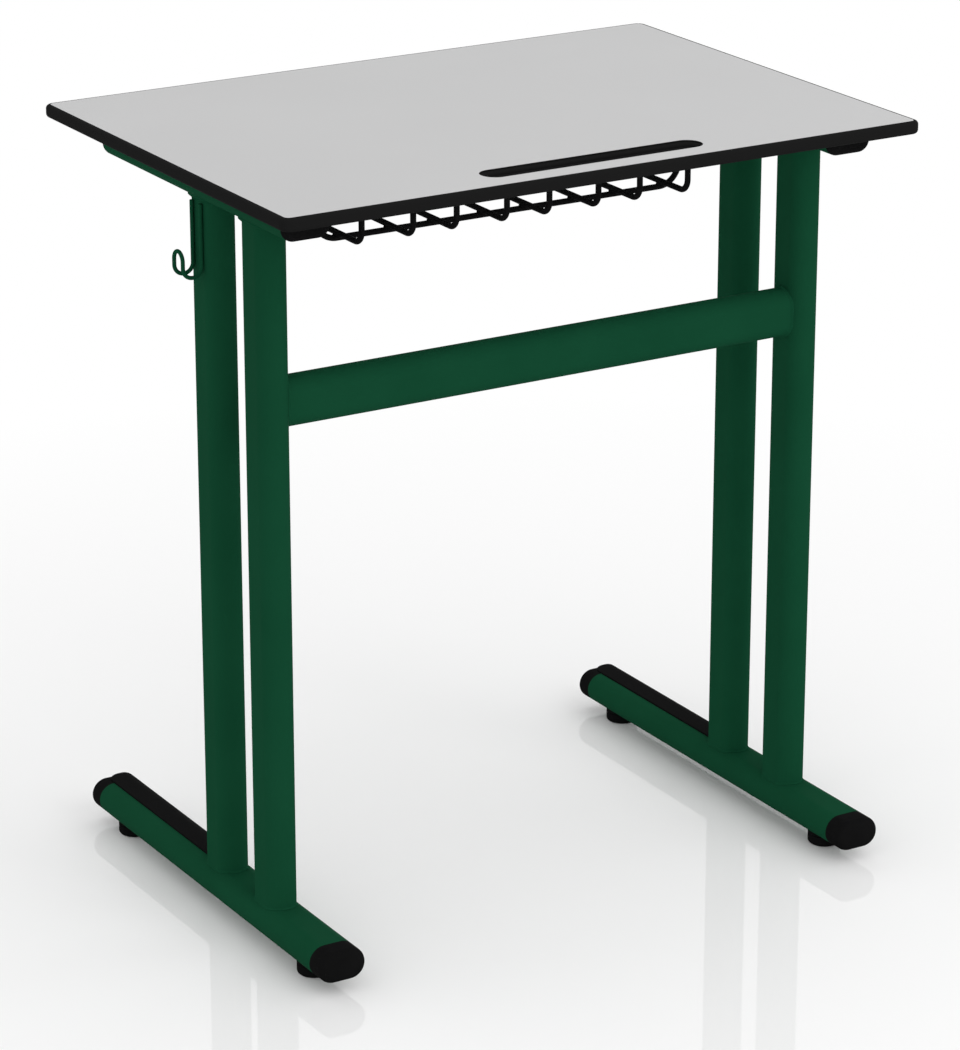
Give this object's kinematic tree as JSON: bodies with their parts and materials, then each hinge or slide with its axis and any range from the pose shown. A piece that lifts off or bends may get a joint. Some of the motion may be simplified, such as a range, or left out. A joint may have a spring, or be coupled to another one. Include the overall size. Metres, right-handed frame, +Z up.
{
  "type": "school desk",
  "caption": "Single school desk: laminate top with pen groove on a welded tube frame, wire book basket, bag hook and levelling glides.",
  "frame": {"origin": "on the floor, under the centre of the top", "axes": "+Z up, +Y towards the user's side where the basket opens, +X along the long edge of the top"},
  "size_m": [0.7, 0.5035, 0.77],
  "materials": {
    "decor_grey": "light grey fine-textured laminate, low sheen",
    "core_black": "black compact core, machined and lightly polished edge",
    "powder_green": "dark green semi-matt powder coat",
    "wire_black": "black powder-coated wire",
    "moulded_black": "black moulded plastic, fine grain",
    "zinc": "bright zinc plate",
    "brass": "turned brass"
  },
  "bodies": {
    "frame": {"bag_hook": "powder_green", "basket_back_wire": "wire_black", "basket_cross_wire_far": "wire_black", "basket_cross_wire_user": "wire_black", "basket_hairpin_1": "wire_black", "basket_hairpin_2": "wire_black", "basket_hairpin_3": "wire_black", "basket_hairpin_4": "wire_black", "basket_screws": "zinc", "crossbar": "powder_green", "desk_top_core": "core_black", "desk_top_face": "decor_grey", "desk_top_underface": "decor_grey", "foot_cap_left": "moulded_black", "foot_cap_right": "moulded_black", "foot_guard_left": "moulded_black", "foot_guard_right": "moulded_black", "foot_tube_left": "powder_green", "foot_tube_right": "powder_green", "frame_screw_inserts": "brass", "frame_screws": "zinc", "glide_insert_left_far": "moulded_black", "glide_insert_left_user": "moulded_black", "glide_insert_right_far": "moulded_black", "glide_insert_right_user": "moulded_black", "post_left_far": "powder_green", "post_left_user": "powder_green", "post_right_far": "powder_green", "post_right_user": "powder_green", "rail_cap_left_far": "moulded_black", "rail_cap_left_user": "moulded_black", "rail_cap_right_far": "moulded_black", "rail_cap_right_user": "moulded_black", "top_rail_left": "powder_green", "top_rail_right": "powder_green"},
    "glide_pad_left_far_body": {"glide_pad_left_far": "moulded_black"},
    "glide_pad_left_user_body": {"glide_pad_left_user": "moulded_black"},
    "glide_pad_right_far_body": {"glide_pad_right_far": "moulded_black"},
    "glide_pad_right_user_body": {"glide_pad_right_user": "moulded_black"},
    "glide_stud_left_far_body": {"glide_stud_left_far": "zinc"},
    "glide_stud_left_user_body": {"glide_stud_left_user": "zinc"},
    "glide_stud_right_far_body": {"glide_stud_right_far": "zinc"},
    "glide_stud_right_user_body": {"glide_stud_right_user": "zinc"}
  },
  "joints": [
    {"name": "glide_travel_left_far", "type": "slide", "parent": "frame", "child": "glide_pad_left_far_body", "axis": [0, 0, -1], "range_m": [0, 0.012]},
    {"name": "glide_turn_left_far", "type": "hinge", "parent": "glide_pad_left_far_body", "child": "glide_stud_left_far_body", "pos_m": [-0.3, -0.193, 0.006], "axis": [0, 0, -1], "range_deg": [0, 3456]},
    {"name": "glide_travel_left_user", "type": "slide", "parent": "frame", "child": "glide_pad_left_user_body", "axis": [0, 0, -1], "range_m": [0, 0.012]},
    {"name": "glide_turn_left_user", "type": "hinge", "parent": "glide_pad_left_user_body", "child": "glide_stud_left_user_body", "pos_m": [-0.3, 0.1935, 0.006], "axis": [0, 0, -1], "range_deg": [0, 3456]},
    {"name": "glide_travel_right_far", "type": "slide", "parent": "frame", "child": "glide_pad_right_far_body", "axis": [0, 0, -1], "range_m": [0, 0.012]},
    {"name": "glide_turn_right_far", "type": "hinge", "parent": "glide_pad_right_far_body", "child": "glide_stud_right_far_body", "pos_m": [0.3, -0.193, 0.006], "axis": [0, 0, -1], "range_deg": [0, 3456]},
    {"name": "glide_travel_right_user", "type": "slide", "parent": "frame", "child": "glide_pad_right_user_body", "axis": [0, 0, -1], "range_m": [0, 0.012]},
    {"name": "glide_turn_right_user", "type": "hinge", "parent": "glide_pad_right_user_body", "child": "glide_stud_right_user_body", "pos_m": [0.3, 0.1935, 0.006], "axis": [0, 0, -1], "range_deg": [0, 3456]}
  ],
  "couplings": [
    {"joint": "glide_turn_left_far", "follows": "glide_travel_left_far", "rad_per_m": 5026.5},
    {"joint": "glide_turn_left_user", "follows": "glide_travel_left_user", "rad_per_m": 5026.5},
    {"joint": "glide_turn_right_far", "follows": "glide_travel_right_far", "rad_per_m": 5026.5},
    {"joint": "glide_turn_right_user", "follows": "glide_travel_right_user", "rad_per_m": 5026.5}
  ]
}
